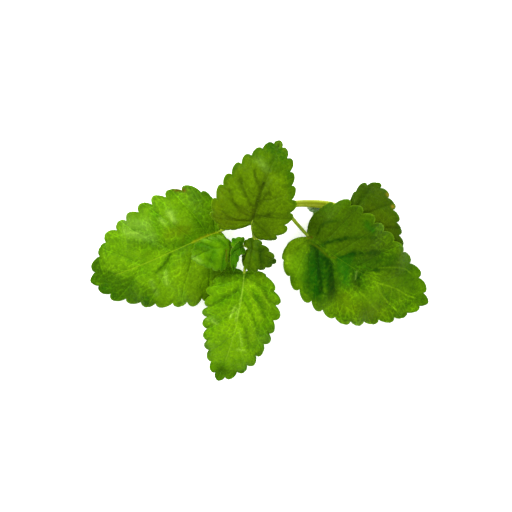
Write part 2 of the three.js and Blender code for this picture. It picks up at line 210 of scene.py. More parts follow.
def make_studio():
    world = bpy.data.worlds.new("studio")
    world.use_nodes = True
    background = world.node_tree.nodes["Background"]
    background.inputs["Color"].default_value = (1, 1, 1, 1)
    background.inputs["Strength"].default_value = 1.3
    scene = bpy.context.scene
    scene.world = world
    scene.view_settings.view_transform = "Standard"
    make_light("key", place=(-0.4, 0.45, 0.6), size=0.3, power=8.0)
    make_light("fill", place=(0.6, -0.2, 0.6), size=0.6, power=1.0)

    bpy.ops.mesh.primitive_plane_add(size=FLOOR_SIZE, location=(0, 0, -FLOOR_DEPTH))
    floor = bpy.context.object
    floor.name = "floor"
    material = bpy.data.materials.new("floor")
    material.use_nodes = True
    shader = material.node_tree.nodes["Principled BSDF"]
    look = {
        "Base Color": (0.96, 0.96, 0.95, 1), "Roughness": 0.9, "Specular IOR Level": 0.1,
        "Emission Color": (1, 1, 1, 1), "Emission Strength": 0.45,
    }
    for key, value in look.items():
        shader.inputs[key].default_value = value
    floor.data.materials.append(material)


# ---- meshes
HAIR_SPREAD = 0.35  # how far the hairs lean apart
HAIR_SHARES = (0.45, 1.0)  # shortest and longest hair, as shares of the length asked for
HAIR_ROOT = 0.08  # mm of a hair below the skin
HAIR_CORNERS = (0, 2.09, 4.19)  # radians round the hair


def make_piece(name, vertices, faces, material, attributes=None, replaces=None):
    """A smooth mesh from points in mm, which rides with the sprig and stays inside its box."""
    low, high = (np.array(corner) for corner in cad_box)
    vertices = np.clip(np.asarray(vertices) * MM, low, high)
    mesh = bpy.data.meshes.new(name)
    faces = [np.asarray(part, np.int32) for part in faces if len(part)]
    corners = np.concatenate([part.ravel() for part in faces])
    sizes = np.concatenate([np.full(len(part), part.shape[1], np.int32) for part in faces])
    mesh.vertices.add(len(vertices))
    mesh.vertices.foreach_set("co", vertices.astype(np.float32).ravel())
    mesh.loops.add(len(corners))
    mesh.loops.foreach_set("vertex_index", corners)
    mesh.polygons.add(len(sizes))
    starts = np.concatenate([[0], np.cumsum(sizes)[:-1]]).astype(np.int32)
    mesh.polygons.foreach_set("loop_start", starts)
    mesh.polygons.foreach_set("loop_total", sizes)
    mesh.update(calc_edges=True)
    for key, values in (attributes or {}).items():
        values = np.asarray(values, np.float32)
        kind, field = ("FLOAT", "value") if values.ndim == 1 else ("FLOAT_VECTOR", "vector")
        mesh.attributes.new(key, kind, "POINT").data.foreach_set(field, values.ravel())
    mesh.validate()
    mesh.polygons.foreach_set("use_smooth", np.ones(len(mesh.polygons), bool))
    mesh.materials.append(material)
    piece = bpy.data.objects.new(name, mesh)
    bpy.context.scene.collection.objects.link(piece)
    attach(piece, "root")
    if replaces:
        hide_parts(replaces)


def tube(line, section, steps):
    """Rings along a line, none below the surface, and their faces. Section gives a ring's (x, y)."""
    curve = Curve(line)
    rings, normal = [], UP.copy()
    for share in np.linspace(0, 1, steps + 1):
        centre, along = curve.at(share), curve.along(share)
        normal = unit(normal - along * normal.dot(along))
        side = np.cross(normal, along)
        ring = np.asarray(section(share, centre))
        rings.append(centre + ring[:, :1] * side + ring[:, 1:] * normal)
    rings = np.array(rings)
    rings[..., 2] = np.maximum(rings[..., 2], 0)
    count = rings.shape[1]
    index = np.arange(rings.shape[0] * count).reshape(-1, count)
    turned = np.roll(index, -1, axis=1)
    sides = np.stack([index[:-1], index[1:], turned[1:], turned[:-1]], axis=-1).reshape(-1, 4)
    return rings, [sides, index[:1, ::-1], index[-1:]]


def roots_on(rings, first, last, count, seed):
    """Random places on a tube's rings from the first up to the last, and the way out of the tube."""
    rng = np.random.default_rng(seed)
    ring, corner = rng.integers(first, last, count), rng.integers(0, rings.shape[1], count)
    roots = rings[ring, corner]
    return roots, unit(roots - rings[ring].mean(axis=1))


def build_hairs(name, roots, towards, length, radius, slot, seed, material="hair"):
    """Thin three-sided cones that stand on the given points."""
    rng = np.random.default_rng(seed)
    count = len(roots)
    towards = unit(towards + rng.normal(0, HAIR_SPREAD, (count, 3)))
    across = unit(np.cross(towards, unit(rng.normal(0, 1, (count, 3)))))
    third = np.cross(towards, across)
    reach = length * rng.uniform(*HAIR_SHARES, count)[:, None]
    foot = roots - HAIR_ROOT * towards
    corners = [foot + radius * (math.cos(a) * across + math.sin(a) * third) for a in HAIR_CORNERS]
    vertices = np.concatenate([*corners, roots + reach * towards])
    k = np.arange(count)
    faces = [
        np.stack([k + a * count, k + b * count, k + 3 * count], axis=1)
        for a, b in ((0, 1), (1, 2), (2, 0))
    ]
    make_piece(name, vertices, faces, MATERIALS[material])


# ---- leaf shape
BLADE_THICKNESS = 0.6  # of the solid
FINE_THICKNESS = 0.42
SINUS_HALF_WIDTH = 0.4  # half the inlet between the two lobes, at the stalk
LOBE_PULL, TIP_PULL = 1.7, 0.12  # of the outline's handles
TOOTH_ROUNDNESS = 0.55  # 1 gives plain arches and 0 square ones
TOOTH_APEX = 0.6  # where a tooth is highest, from the notch behind it to the one before it
TOOTH_LEAN = 0.3  # towards the tip, against the tooth's height
TOOTH_SHARES = (0.75, 1.15)  # lowest and highest tooth, against the height asked for
MOST_TEETH = 40
TEETH_GROW = (0.05, 0.3)  # shares of the outline between which the teeth come up
TIP_START = 0.93  # share of the outline where the sides begin to share one tooth
MIDRIB_END = 0.94  # share of the blade's length where the last side vein leaves the midrib
VEIN_SWEEP = 3.0  # how strongly the side veins crowd towards the blade's base
VEIN_SPREAD = 0.12  # share of that place that is even
VEIN_BEND = 0.65  # side veins leave the midrib steeply and bend to the tip; 1 is straight
WAVE_RATE = 0.4  # radians of the margin's wave for each mm of midrib
WAVE_SHIFT = 2  # radians between the two sides
WAVE_REACH = 14  # distance from the midrib where the wave is at its full height
FOLD_ROUNDING = 1.2  # half width of the rounded valley over the midrib
RESTING_BEND = 0.3  # how gently a blade bends where it meets the surface
RESTING_SNAP = 0.2  # what comes this near the surface lies on it
RESTING_UNDERSIDE, RESTING_TOP = 0.05, 0.35  # highest underside there, and lowest top
STILL_STRAIGHT = 20  # bends above the surface, where the bend no longer counts

# Shares t go from the midrib, 0, to the margin, 1. A start is where a form has its full height, or the
# two places between which it comes up, and a fall is how much of it is gone at the margin.
LEVEL_POWER = 1.3  # above 1, the grid's lines crowd towards the midrib
BRANCH_START = (0.4, 0.7)  # where the veins to the notches come in
NO_VEIN = 4.0  # mm or half widths, too far from a vein for it to show
NET_WARP, WARP_PITCH = 0.8, 3.2  # how far the net is pushed aside
FINE_CELLS = 0.4  # size of the finest cells against the net's
CREST_POWER, CREST_MIDDLE = 0.9, 0.55  # of the quilting between the side veins
QUILT_START, QUILT_FALL = 0.25, 0.45
GROOVE_WIDTH, GROOVE_START, GROOVE_FALL = 0.5, 0.06, 0.5  # over the side veins
PUFF_REACH, PUFF_ROUNDNESS, PUFF_MIDDLE, PUFF_START = 0.36, 0.7, 0.6, 0.1  # inside the net
FINE_PUFF, FINE_REACH = 0.3, 0.14  # inside the finest cells, against the puffs and the net
VALLEY_DEPTH, VALLEY_WIDTH = 0.12, 0.4  # over the midrib
BUCKLE, BUCKLE_PITCH, BUCKLE_START = 0.25, 7, 0.3  # slow ups and downs
MARGIN_FROM, MARGIN_THICKNESS = 0.9, 0.5  # where the blade begins to thin, and what is left of it
MIDRIB_WIDTHS = (0.24, 0.12)  # half widths at the stalk and at the tip
MIDRIB_FADE, MIDRIB_THIN = (0.75, 0.95), 3  # shares of the length where it fades, and how strongly
KEEL_WIDTH, KEEL_FALL = 2, 0.7  # under the midrib, in its half widths, and how much is gone at the tip
SIDE_VEIN_WIDTHS = (0.2, 0.12)  # half widths at the midrib and at the margin
SIDE_RIB_HEIGHT, SIDE_RIB_WIDTH = 0.2, 1.5  # under the blade, the width in the vein's half widths
NET_RIB_HEIGHT, NET_RIB_WIDTH = 0.1, 0.25
NET_WIDTH = 0.16
BARE_PITCH, BARE_EDGES, BARE_STEP = 6, (-0.8, 0.2), 9  # places without a net
BARE_FADE = 2  # half widths by which a hidden net is moved away
HAIR_UP, HAIR_AHEAD, EDGE_HAIR_AHEAD = 0.8, 0.7, 0.5
INSIDE_MARGIN = -6  # the grid's line that shows which way is out
STALK_SIDES, STALK_STEPS = 24, 60
STALK_UNDER, STALK_DEPTH = (0.02, 0.1), 0.45  # shares of the blade that it runs on below, and how deep
STALK_GROOVE, STALK_GROOVE_WIDTH = 0.28, 0.45  # share of its radius, and radians
STALK_END = 0.9  # share of its length where it begins to taper to half
STALK_HAIRS = (2, 52, 160)  # first ring, last ring and how many
STALK_HAIR_SIZE = (0.55, 0.02)  # length and radius


def side_outline(length, lobe, width, widest, full=0.45, blunt=None, sinus=0.2, **_):
    blunt = full if blunt is None else blunt
    rest = length - widest
    inner = bezier(
        (0, SINUS_HALF_WIDTH), (-LOBE_PULL * lobe, sinus * width), (-lobe, width), (widest, width),
    )
    outer = bezier(
        (widest, width), (widest + full * rest, width),
        (length - TIP_PULL * rest, blunt * width), (length, 0),
    )
    return Curve(np.concatenate([inner, outer[1:]]))


def outline_shares(steps, teeth, samples):
    """The outline's shares at its steps, where a side with fewer teeth spends more on its start."""
    i = np.arange(steps + 1)
    start = steps - samples * (teeth - 1)
    return np.where(i < start, i / start, 1 + (i - start) / samples) / teeth


def margin(path, share, phase, tooth, tip_tooth, rng):
    """The outline with its rounded teeth, each a little different, leaning to the tip."""
    at, along = path.at(share), path.along(share)
    to_tip = smooth(share, TIP_START, 1)
    ahead = to_tip[:, None]
    out = unit(mix(np.stack([-along[:, 1], along[:, 0]], axis=1), np.array([1.0, 0.0]), ahead))
    skew = np.log(0.5) / np.log(mix(TOOTH_APEX, 0.5, to_tip))
    arch = np.abs(np.sin(np.pi * (phase - np.floor(phase)) ** skew)) ** TOOTH_ROUNDNESS
    uneven = rng.uniform(*TOOTH_SHARES, MOST_TEETH)[np.floor(phase).astype(int)]
    height = mix(tooth * uneven, tip_tooth, to_tip) * arch * smooth(share, *TEETH_GROW)
    edge = at + (out + along * TOOTH_LEAN * (1 - ahead)) * height[:, None]
    edge[-1, 1] = 0
    return edge


def sheet(leaf, u, v):
    """The blade without its quilting, as in the part's source."""
    share = np.clip(u / leaf["length"], 0, 1)
    along = leaf["curve"].along(share)
    centre = leaf["curve"].at(share) + along * (u - share * leaf["length"])[..., None]
    side = unit(np.cross(UP, along))
    normal = np.cross(along, side)
    fold, droop = mix(*leaf["fold"], share), mix(*leaf["droop"], share)
    valley = np.hypot(v, FOLD_ROUNDING) - FOLD_ROUNDING
    swing = np.sin(u * WAVE_RATE + np.where(v > 0, 0, WAVE_SHIFT))
    wave = leaf["wave"] * swing * smooth(np.abs(v), 0, WAVE_REACH)
    rise = fold * valley - droop * v * v + wave
    return centre + side * v[..., None] + normal * rise[..., None]


def sheet_normal(leaf, u, v, step=0.2):
    du = sheet(leaf, u + step, v) - sheet(leaf, u - step, v)
    dv = sheet(leaf, u, v + step) - sheet(leaf, u, v - step)
    return unit(np.cross(du, dv))


def resting_height(z):
    """Heights of the blade's middle, bent so that none is below the surface it lies on."""
    above = (z - BLADE_THICKNESS / 2) / RESTING_BEND
    bend = np.log1p(np.exp(np.minimum(above, STILL_STRAIGHT)))
    return np.where(above > STILL_STRAIGHT, z, BLADE_THICKNESS / 2 + RESTING_BEND * bend)


def leaf_side(leaf, sign, rng):
    """One side of the blade on a grid: its place, its relief and how far each point is from a vein."""
    side = leaf["left" if sign > 0 else "right"]
    length, teeth = leaf["length"], side["teeth"]
    steps = leaf["samples"] * max(leaf["left"]["teeth"], leaf["right"]["teeth"])
    share = outline_shares(steps, teeth, leaf["samples"])
    phase = teeth * (share - 1) + 0.5
    path = side_outline(length, **side)
    edge = margin(path, share, phase, side["tooth"], leaf["left"]["tooth"], rng)
    t = np.linspace(0, 1, leaf["levels"] + 1)[None, :] ** LEVEL_POWER
    place = np.linspace(0, 1, steps + 1)[:, None]
    root = MIDRIB_END * length * mix(place**VEIN_SWEEP, place, VEIN_SPREAD)
    u = root + (edge[:, :1] - root) * t * mix(VEIN_BEND, 1, t)
    v = sign * edge[:, 1:] * t

    # mm for each tooth's step, measured square to the line of the side vein
    u_ahead, v_ahead = np.gradient(u, phase, axis=0), np.gradient(v, phase, axis=0)
    u_out, v_out = np.gradient(u, t[0], axis=1), np.gradient(v, t[0], axis=1)
    pace = np.abs(u_ahead * v_out - u_out * v_ahead) / np.hypot(u_out, v_out)
    t = np.broadcast_to(t, u.shape)
    phase = np.broadcast_to(phase[:, None], u.shape)
    ridge = np.abs((phase + 0.5) % 2 - 1)  # 0 on a side vein, 1 half way to the next
    to_side_vein = ridge * pace
    to_branch = np.abs(phase % 1 - 0.5) * pace + NO_VEIN * (1 - smooth(t, *BRANCH_START))

    seed = leaf["seed"]
    warp = NET_WARP * blotches(u, v, WARP_PITCH, seed + 5)
    net = cells(u + warp, v - warp, leaf["net"], seed)
    fine = cells(u - warp, v + warp, FINE_CELLS * leaf["net"], seed + 1)
    nearest = np.minimum(np.minimum(net, to_side_vein), to_branch)

    crest = np.sin(0.5 * np.pi * ridge) ** CREST_POWER
    quilt = leaf["quilt"] * (crest - CREST_MIDDLE) * smooth(t, 0, QUILT_START)
    groove = leaf["groove"] * bell(to_side_vein, GROOVE_WIDTH) * smooth(t, 0, GROOVE_START)
    puff = np.minimum(nearest / (PUFF_REACH * leaf["net"]), 1) ** PUFF_ROUNDNESS - PUFF_MIDDLE
    fine_puff = np.minimum(fine / (FINE_REACH * leaf["net"]), 1) - PUFF_MIDDLE
    inside = smooth(t, 0, PUFF_START)
    height = quilt * (1 - QUILT_FALL * t) - groove * (1 - GROOVE_FALL * t)
    height = height + leaf["puff"] * puff * inside + FINE_PUFF * leaf["puff"] * fine_puff * inside
    height = height - VALLEY_DEPTH * bell(v, VALLEY_WIDTH)
    height = height + BUCKLE * blotches(u, v, BUCKLE_PITCH, seed + 6) * smooth(t, 0, BUCKLE_START)
    return {
        "u": u, "v": v, "t": t, "place": np.broadcast_to(place, u.shape), "height": height,
        "crest": crest, "to_side_vein": to_side_vein, "to_branch": to_branch, "net": net,
    }


# ---- leaf colours
TINTS = {  # what a mark on a blade turns it into; several are painted light and shade, as said at each
    # painted shadow in the folds and furrows of the blades and on the shaded halves of young blades
    "deep": linear(14, 54, 0),
    # a darker, richer green: painted shade in folds and on tips turned from the light, and on the upper leaf
    # the blade's own greener tone
    "rich": linear(18, 74, 0),
    # painted shade: darker olive over the upper half of the big right-hand leaf
    "olive": linear(58, 88, 0),
    # painted shade along the midrib and side-vein furrows of the upper leaf, and in the furrows of leaves
    # that dip to it
    "dusk": linear(34, 52, 0),
    "shade": linear(48, 86, 0),
    "grass": linear(34, 98, 2),
    # painted light on the parts of blades that face the light and on lit ridges
    "bright": linear(92, 138, 2),
    "lime": linear(114, 158, 6),
    # painted highlight: pale sheen on the glossy blades
    "pale": linear(118, 158, 48),
    # painted highlight: small bright glints of sheen
    "gleam": linear(142, 184, 50),
    "warm": linear(84, 104, 0),
    "gold": linear(140, 140, 8),
    "yellow": linear(150, 126, 20),
    "brown": linear(90, 40, 8),
}
TONE_NOISES = ((0.26, 11, 2), (0.2, 4, 3), (0.16, 1.6, 4))
RAGGED_NOISES = ((0.3, 1.8, 7), (0.25, 0.8, 8))  # in the width of the marks
MOTTLE_NOISES = ((0.35, 0.7, 9),)  # in their strength
CREST_LIGHTING, TONE_MIDDLE = 0.4, 0.6  # painted light and shade of the relief: how much lighter the quilting's crests are painted than its furrows
# of the painted shade in the furrows over the side veins
FURROW_WIDTH, FURROW_START, FURROW_FALL = 0.7, (0.02, 0.12), 0.75
RIM, EDGE = (0.84, 0.97), (0.97, 0.995)  # shares t between which each comes in
MARK_POINTS = 8  # on a mark's line between two of its given points


def stroke(u, v, line, width):
    """1 on a smooth line through the points on the blade, fading out over its width."""
    nearest = np.full(u.shape, np.inf)
    points = through(line, MARK_POINTS)
    for (u0, v0), (u1, v1) in zip(points, points[1:]):
        du, dv = u1 - u0, v1 - v0
        walked = np.clip(((u - u0) * du + (v - v0) * dv) / max(du * du + dv * dv, 1e-9), 0, 1)
        nearest = np.minimum(nearest, np.hypot(u - u0 - walked * du, v - v0 - walked * dv))
    return bell(nearest, width)


def paint(leaf, g):
    """The blade's colour at each point: its tone, with painted light and shade on its quilting, painted
    shade in its furrows, its marks and its margin.
    """
    u, v, t = g["u"], g["v"], g["t"]
    seed = leaf["seed"]
    tone = noisy(0.5, u, v, seed, TONE_NOISES)
    # painted light and shade of the relief: crests lighter, furrows darker
    tone = tone + CREST_LIGHTING * (g["crest"] - TONE_MIDDLE) * leaf["relief_shading"]
    tone = np.clip(tone, 0, 1)[..., None]
    colour = mix(linear(*leaf["dark"]), linear(*leaf["light"]), tone)
    # painted shade in the furrows over the side veins
    furrow_shade = bell(g["to_side_vein"], FURROW_WIDTH) * smooth(t, *FURROW_START) * (1 - FURROW_FALL * t)
    colour = mix(colour, TINTS[leaf["dip"]], (leaf["furrow_shade"] * furrow_shade)[..., None])
    ragged = noisy(1, u, v, seed, RAGGED_NOISES)
    mottle = noisy(1, u, v, seed, MOTTLE_NOISES)
    # many marks are painted light and shade: painted shadows in folds, painted highlights and sheen
    for kind, *marks in leaf["marks"]:
        for width, strength, *line in marks:
            share = np.clip(strength * mottle * stroke(u, v, line, width * ragged), 0, 1)
            colour = mix(colour, TINTS[kind], share[..., None])
    colour = mix(colour, TINTS["shade"], (leaf["rim"] * smooth(t, *RIM))[..., None])
    return mix(colour, TINTS["lime"], (leaf["edge"] * smooth(t, *EDGE))[..., None])


# ---- leaf meshes
def quads(a, b, c, d):
    return np.stack([a, b, c, d], axis=-1).reshape(-1, 4)


def skin(index):
    """The faces between the rows and columns of a grid of points."""
    return quads(index[:-1, :-1], index[1:, :-1], index[1:, 1:], index[:-1, 1:])


def build_blade(leaf, name, replaces):
    rng = np.random.default_rng(leaf["seed"])
    vertices, faces, attributes, hairs, offset, shared = [], [], [], [], 0, None
    for sign in (1, -1):
        g = leaf_side(leaf, sign, rng)
        u, v, t = g["u"], g["v"], g["t"]
        normal = sheet_normal(leaf, u, v)
        middle = sheet(leaf, u, v)
        middle[..., 2] = resting_height(middle[..., 2])
        lies = middle[..., 2] < BLADE_THICKNESS / 2 + RESTING_SNAP
        middle = middle + normal * g["height"][..., None]
        half = FINE_THICKNESS / 2 * mix(1, MARGIN_THICKNESS, smooth(t, MARGIN_FROM, 1))

        # how far each point is from a vein, in the vein's half widths
        midrib = np.abs(v) / mix(*MIDRIB_WIDTHS, g["place"])
        midrib = midrib + MIDRIB_THIN * smooth(u / leaf["length"], *MIDRIB_FADE)
        side_vein = g["to_side_vein"] / mix(*SIDE_VEIN_WIDTHS, t)
        bare = smooth(blotches(u, v, BARE_PITCH, leaf["seed"] + BARE_STEP), *BARE_EDGES)
        hidden = 1 - bare * smooth(u, *leaf["net_start"])
        net = np.minimum(g["net"], g["to_branch"]) / NET_WIDTH + BARE_FADE * hidden
        veins = np.minimum(np.stack([midrib, side_vein, net], axis=-1), NO_VEIN)

        keel = leaf["keel"] * bell(midrib, KEEL_WIDTH) * (1 - KEEL_FALL * g["place"])
        ribs = SIDE_RIB_HEIGHT * bell(side_vein, SIDE_RIB_WIDTH)
        ribs = ribs + NET_RIB_HEIGHT * bell(g["net"], NET_RIB_WIDTH)
        top = middle + normal * half[..., None]
        bottom = middle - normal * (half + np.maximum(ribs * (1 - t), keel))[..., None]
        low = np.minimum(bottom[..., 2], RESTING_UNDERSIDE)
        bottom[..., 2] = np.where(lies, low, bottom[..., 2])
        top[..., 2] = np.maximum(top[..., 2], RESTING_TOP)

        rows, columns = u.shape
        index = np.arange(rows * columns).reshape(rows, columns) + offset
        under = index + rows * columns
        if shared:  # the midrib and the tip belong to both sides
            index[:, 0], under[:, 0], index[-1, :], under[-1, :] = shared
        else:
            shared = index[:, 0].copy(), under[:, 0].copy(), index[-1, :].copy(), under[-1, :].copy()
        offset += 2 * rows * columns
        rim = quads(index[:-1, -1], index[1:, -1], under[1:, -1], under[:-1, -1])
        inlet = quads(index[0, :-1], index[0, 1:], under[0, 1:], under[0, :-1])
        faces += [part[:, ::sign] for part in (skin(index), skin(under)[:, ::-1], rim, inlet)]
        vertices += [top.reshape(-1, 3), bottom.reshape(-1, 3)]
        colour = paint(leaf, g)
        for below in (0, 1):
            attributes.append({
                "flat": np.stack([u, v, np.full(u.shape, leaf["seed"])], axis=-1).reshape(-1, 3),
                "paint": colour.reshape(-1, 3),
                "veins": veins.reshape(-1, 3),
                "under": np.full(u.size, float(below)),
            })

        ahead = leaf["curve"].along(np.clip(u / leaf["length"], 0, 1))
        pick = rng.choice(u.size, leaf["hairs"] // 2, replace=False)
        towards = HAIR_UP * normal + HAIR_AHEAD * ahead
        hairs.append((top.reshape(-1, 3)[pick], towards.reshape(-1, 3)[pick]))
        outward = unit(top[:, -1] - top[:, INSIDE_MARGIN]) + EDGE_HAIR_AHEAD * ahead[:, -1]
        edge = slice(leaf["samples"], None, 2)
        hairs.append((top[edge, -1], outward[edge]))

    merged = {key: np.concatenate([part[key] for part in attributes]) for key in attributes[0]}
    vertices = np.concatenate(vertices)
    used = np.unique(np.concatenate([part.ravel() for part in faces]))
    renumber = np.full(len(vertices), -1)
    renumber[used] = np.arange(len(used))
    faces = [renumber[part] for part in faces]
    merged = {key: values[used] for key, values in merged.items()}
    make_piece(name, vertices[used], faces, leaf_material(leaf["look"]), merged, replaces)
    roots, towards = (np.concatenate(part) for part in zip(*hairs))
    size = leaf["hair_size"]
    build_hairs(name + "_hairs", roots, towards, *size, leaf["slot"], leaf["seed"], leaf["hair"])


def build_stalk(leaf, name):
    """The leaf stalk, round below and grooved above, which ends inside the midrib's keel."""
    reach = []
    for share in STALK_UNDER:
        u, v = np.array(share * leaf["length"]), np.array(0.0)
        reach.append(sheet(leaf, u, v) - STALK_DEPTH * sheet_normal(leaf, u, v))
    foot, end = leaf["stalk_radius"]
    angles = np.linspace(0, 2 * np.pi, STALK_SIDES, endpoint=False)

    def section(share, _):
        radius = mix(foot, end, share) * (1 - 0.5 * smooth(share, STALK_END, 1))
        groove = 1 - STALK_GROOVE * bell(angles - np.pi / 2, STALK_GROOVE_WIDTH)
        return np.stack([radius * groove * np.cos(angles), radius * groove * np.sin(angles)], axis=1)

    rings, faces = tube(through([*leaf["stalk"], *reach]), section, STALK_STEPS)
    make_piece(name, rings.reshape(-1, 3), faces, MATERIALS["stalk"])
    roots, out = roots_on(rings, *STALK_HAIRS, leaf["seed"] + 8)
    build_hairs(name + "_hairs", roots, out, *STALK_HAIR_SIZE, leaf["slot"], leaf["seed"] + 9)


def build_leaf(spec, name, replaces):
    leaf = {**LEAF_DEFAULTS, **spec, "marks": MARKS.get(name, [])}
    leaf["curve"] = Curve(bezier(*leaf["midrib"]))
    leaf["length"] = leaf["curve"].length
    build_blade(leaf, name + "_blade", replaces)
    build_stalk(leaf, name + "_stalk")


# ---- leaves
# "left" and "right" are the blade's sides as seen from its stalk: "full" and "blunt" say how round they
# are past the widest place and before the tip, and "sinus" how open the inlet is. "fold" and "droop" are
# given at the stalk and at the tip, and "net_start" is where along the blade the net comes in.
def blade_side(lobe, width, widest, teeth, tooth, **more):
    """How far the lobe reaches back, the greatest width and where it is, and the teeth and their height."""
    return {"lobe": lobe, "width": width, "widest": widest, "teeth": teeth, "tooth": tooth, **more}


def tiny_leaf(width, widest, teeth, **more):
    side = blade_side(0.3, width, widest, teeth, 0.35)
    return {**TINY_LEAF, "left": side, "right": side, **more}


LEAF_DEFAULTS = {
    "wave": 0.0, "samples": 16, "levels": 64, "net": 2.2, "puff": 0.2, "keel": 0.5, "relief_shading": 1.0,
    "groove": 0.22, "furrow_shade": 0.4, "dip": "shade", "rim": 0.4, "edge": 0.5, "look": "shaded_veins",
    "net_start": (-9, -8), "stalk_radius": (0.8, 0.5), "slot": "large_leaf",
    "hair": "hair", "hairs": 700, "hair_size": (0.4, 0.01),
}
YOUNG_LEAF = {
    "levels": 40, "samples": 14, "net": 1.6, "puff": 0.08, "keel": 0.3, "groove": 0.1, "furrow_shade": 0.2,
    "fold": (0.2, 0.05), "hairs": 160, "stalk_radius": (0.5, 0.4), "slot": "young_leaf",
}
TINY_LEAF = {
    "quilt": 0.15, "fold": (0.6, 0.3), "droop": (0.02, 0.02), "levels": 20, "samples": 12, "net": 0.8,
    "puff": 0.05, "keel": 0.12, "stalk_radius": (0.45, 0.3), "look": "young_veins", "hairs": 60,
    "slot": "shoot",
}
DOWN = {
    "dark": (44, 132, 12), "light": (176, 244, 136), "rim": 0,
    "hair": "down", "hair_size": (0.9, 0.06),
}

LEAVES = {
    "leaf_left": {
        "midrib": [(-14.0, 11.0, 13), (-27, 6.2, 20), (-46, -4.2, 9), (-61.2, -7.3, -3.5)],
        "left": blade_side(1.5, 20.2, 13, 13, 2, full=0.4, blunt=0.37),
        "right": blade_side(2, 19, 9, 12, 2.4, full=0.67),
        "quilt": 0.6, "wave": 0.7, "fold": (0.35, 0.1), "droop": (0.022, 0.02),
        "stalk": [(7.4, 20.2, 10.6), (0, 17, 12), (-8, 13.6, 12.6)], "seed": 11, "look": "light_veins",
        "relief_shading": 0.5, "groove": 0.14, "furrow_shade": 0.2, "dark": (58, 107, 0), "light": (101, 145, 4),
    },
    "leaf_right": {
        "midrib": [(17.6, 9.2, 16), (30, -1.0, 20), (46, -10, 9), (61.2, -14.9, -3.2)],
        "left": blade_side(3.4, 18.2, 9, 12, 2.1, full=0.6, blunt=0.55),
        "right": blade_side(4.4, 18.9, 25, 14, 1.7, sinus=0.3, full=0.25, blunt=0.35),
        "quilt": 0.5, "wave": 0.8, "fold": (0.3, 0.05), "droop": (0.016, 0.02),
        "stalk": [(8.8, 20.0, 10.4), (11.8, 16.0, 12.6), (14.8, 12.4, 14.6)], "stalk_radius": (0.75, 0.55),
        "seed": 23, "look": "net_veins", "net": 1.7, "net_start": (8, 24), "relief_shading": 0.6, "groove": 0.08,
        "furrow_shade": 0.12, "dark": (46, 88, 0), "light": (92, 136, 0),
    },
    "leaf_upper": {
        "midrib": [(-2.6, 12.9, 27), (-0.5, 21, 33.5), (4, 33, 36), (7.4, 42.6, 24)],
        "left": blade_side(4.4, 14.8, 4, 11, 1.7, sinus=0.55, full=0.37, blunt=0.32),
        "right": blade_side(5, 11.8, 8.5, 10, 1.8, sinus=0.03, full=0.4, blunt=0.2),
        "quilt": 0.4, "wave": 0.6, "fold": (0.3, 0.05), "droop": (0.022, 0.02),
        "stalk": [(-1.6, 8.0, 20), (-2.0, 10.0, 22.2)], "stalk_radius": (0.7, 0.6), "seed": 37,
        "relief_shading": 0.4, "groove": 0.06, "furrow_shade": 0.15, "dip": "dusk", "dark": (64, 94, 0),
        "light": (88, 122, 0),
    },
    "leaf_lower": {
        "midrib": [(-5.4, -3.9, 20), (-5.6, -15, 23), (-9.5, -31, 10), (-15.0, -43.2, -3.2)],
        "left": blade_side(1, 12.7, 15, 11, 1.9, full=0.5, blunt=0.46),
        "right": blade_side(1.6, 11.5, 14, 11, 1.9),
        "quilt": 0.4, "wave": 0.6, "fold": (0.35, 0.1), "droop": (0.03, 0.025),
        "stalk": [(-2.6, 6.6, 20.6), (-3.7, 2.4, 20.6), (-4.9, -1.6, 20.2)], "stalk_radius": (0.7, 0.45),
        "seed": 41, "look": "pale_midrib", "relief_shading": 0.4, "groove": 0.07, "furrow_shade": 0.1,
        "dark": (58, 110, 0), "light": (111, 158, 2),
    },
    "leaf_back": {
        "midrib": [(33.4, 19.0, 6.0), (39, 16, 8.2), (46, 9, 6.4), (51.8, 2.8, 2)],
        "left": blade_side(2, 12.9, 4, 9, 1.6, full=0.28, blunt=0.2),
        "right": blade_side(1, 8.4, 5, 8, 1.5, full=0.4),
        "quilt": 0.6, "fold": (0.15, 0.0), "droop": (0.05, 0.03), "stalk": [(30.6, 18.8, 5.4)],
        "stalk_radius": (0.75, 0.7), "seed": 53, "relief_shading": 0.7, "furrow_shade": 0.3, "dark": (38, 61, 0),
        "light": (62, 90, 0), "slot": "dark_leaf",
    },
    "leaf_under": {
        "midrib": [(29.4, 15.4, 2.4), (27, 8, 4.0), (23, -2, 0.5), (20.0, -9.0, -1.0)],
        "left": blade_side(1, 7.2, 8, 8, 1.2, full=0.42),
        "right": blade_side(1, 8.5, 8, 8, 1.2, full=0.42),
        "quilt": 0.5, "fold": (0.2, 0.05), "droop": (0.03, 0.03), "levels": 44, "stalk": [(30.8, 18.6, 3.8)],
        "stalk_radius": (0.7, 0.6), "seed": 61, "dark": (40, 76, 0), "light": (70, 108, 0), "hairs": 500,
        "slot": "dark_leaf",
    },
    "young_leaf_left": {
        **YOUNG_LEAF,
        "midrib": [(-10.0, 4.7, 25.8), (-14, 5.3, 28.6), (-19, 3.6, 27.4), (-23.8, 1.2, 22.5)],
        "left": blade_side(0.8, 7.4, 4.5, 7, 0.9),
        "right": blade_side(0.6, 4.0, 9, 7, 0.9),
        "quilt": 0.4, "droop": (0.05, 0.03), "stalk": [(-5.4, 5.5, 23.6), (-7.8, 5.0, 24.9)], "seed": 71,
        "look": "young_veins", "dark": (48, 100, 0), "light": (90, 138, 0),
    },
    "young_leaf_right": {
        **YOUNG_LEAF,
        "midrib": [(-3.9, 4.6, 26.2), (-1.4, 4.0, 30), (2.6, 1.8, 29), (5.8, -0.2, 25.4)],
        "left": blade_side(3, 3.4, 1.5, 6, 0.9, full=0.3),
        "right": blade_side(2.2, 6.9, 3.5, 8, 1, sinus=0.3, full=0.42),
        "quilt": 0.45, "droop": (0.04, 0.04), "stalk": [(-4.6, 5.3, 23.9)], "seed": 83, "dip": "dusk",
        "dark": (30, 55, 0), "light": (68, 100, 0),
    },
}
